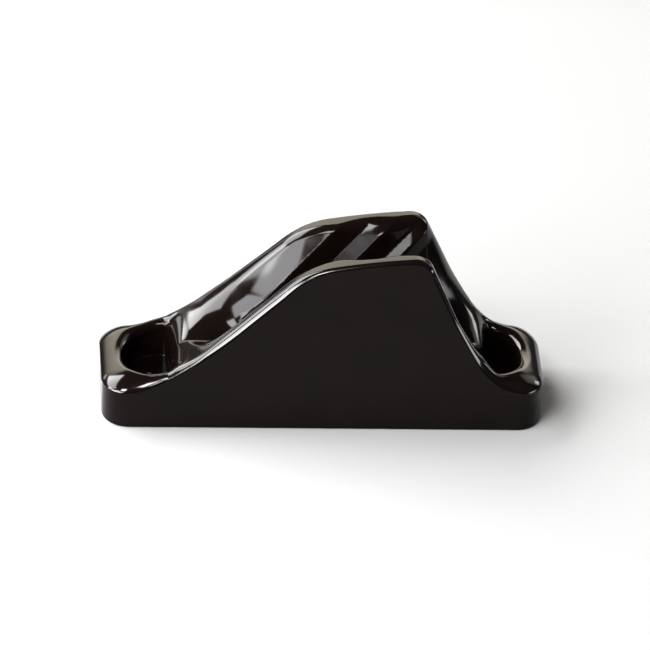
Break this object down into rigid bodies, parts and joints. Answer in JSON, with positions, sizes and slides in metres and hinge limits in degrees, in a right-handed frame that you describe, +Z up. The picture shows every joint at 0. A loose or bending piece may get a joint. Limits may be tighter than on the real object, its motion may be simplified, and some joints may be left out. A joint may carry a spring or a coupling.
{
  "type": "jam cleat",
  "caption": "Low moulded jam cleat with a tapering V groove between two toothed walls that grips small rope, and a recessed screw pocket at each end.",
  "frame": {"origin": "centre of the flat underside, on the bounding box's bottom centre", "axes": "+X along the body, from the low lead-in end towards the steep end; +Y across the jaws; +Z up from the mounting surface"},
  "size_m": [0.066, 0.0206, 0.0273],
  "materials": {
    "black_nylon": "glossy injection-moulded black nylon with a slight warm tint and faint surface waviness"
  },
  "bodies": {
    "root": {"cleat_body": "black_nylon"}
  },
  "joints": []
}
